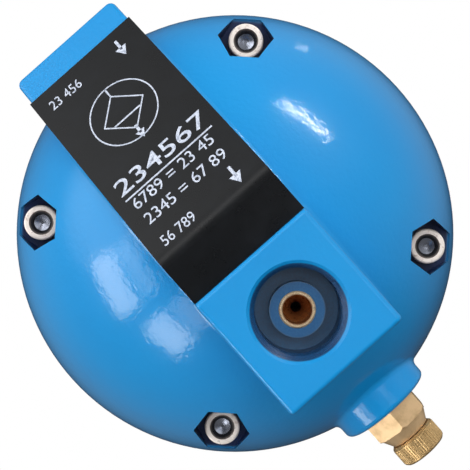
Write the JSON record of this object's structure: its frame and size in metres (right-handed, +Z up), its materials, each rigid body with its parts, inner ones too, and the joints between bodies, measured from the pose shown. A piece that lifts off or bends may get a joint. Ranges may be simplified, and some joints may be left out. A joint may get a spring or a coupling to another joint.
{
  "type": "automatic float drain valve",
  "caption": "Ball-shaped cast drain valve: a float lifts a lever that draws a plug off its seat and lets condensate out.",
  "frame": {"origin": "centre of the inlet port's mouth", "axes": "+Z up out of the inlet port; -Y out of the outlet port, which is the front; +X to the right seen from the front"},
  "size_m": [0.112, 0.1228, 0.1327],
  "materials": {
    "blue_casting": "gloss",
    "plate_black": "satin",
    "screw_steel": "satin",
    "seat_brass": "satin",
    "vent_brass": "satin",
    "knob_brass": "satin",
    "washer_copper": "satin",
    "seal_rubber": "matte",
    "plug_steel": "satin",
    "pin_steel": "polished",
    "needle_steel": "satin",
    "lever_steel": "satin",
    "float_steel": "polished"
  },
  "bodies": {
    "valve_body": {"front_housing": "blue_casting", "rear_housing": "blue_casting", "housing_o_ring": "seal_rubber", "cover_screws": "screw_steel", "nameplate": "plate_black", "valve_seat": "seat_brass", "seat_washer": "washer_copper", "pivot_bracket": "lever_steel", "bracket_screw": "screw_steel", "pivot_pin": "pin_steel", "pivot_clips": "pin_steel", "vent_body": "vent_brass", "vent_washer": "seal_rubber"},
    "float_arm": {"float_lever": "lever_steel", "float_ball": "float_steel", "float_stud": "pin_steel", "float_nut": "screw_steel"},
    "plug_slider": {"valve_plug": "plug_steel", "plug_tip": "seal_rubber", "link_pin": "pin_steel"},
    "vent_stem": {"vent_needle": "needle_steel", "vent_needle_tip": "seal_rubber"},
    "vent_handwheel": {"vent_knob": "knob_brass"}
  },
  "joints": [
    {"name": "float_lift", "type": "hinge", "parent": "valve_body", "child": "float_arm", "pos_m": [0, -0.0075, -0.071], "axis": [1, 0, 0], "range_deg": [0, 20]},
    {"name": "plug_slide", "type": "slide", "parent": "valve_body", "child": "plug_slider", "axis": [0, 1, 0], "range_m": [0, 0.0041]},
    {"name": "vent_travel", "type": "slide", "parent": "valve_body", "child": "vent_stem", "axis": [0, 0, -1], "range_m": [0, 0.00152]},
    {"name": "vent_turn", "type": "hinge", "parent": "vent_stem", "child": "vent_handwheel", "pos_m": [0, 0, -0.13], "axis": [0, 0, -1], "range_deg": [0, 540]}
  ],
  "couplings": [
    {"joint": "plug_slide", "follows": "float_lift", "m_per_rad": 0.0115},
    {"joint": "vent_travel", "follows": "vent_turn", "m_per_rad": 0.00015915}
  ]
}
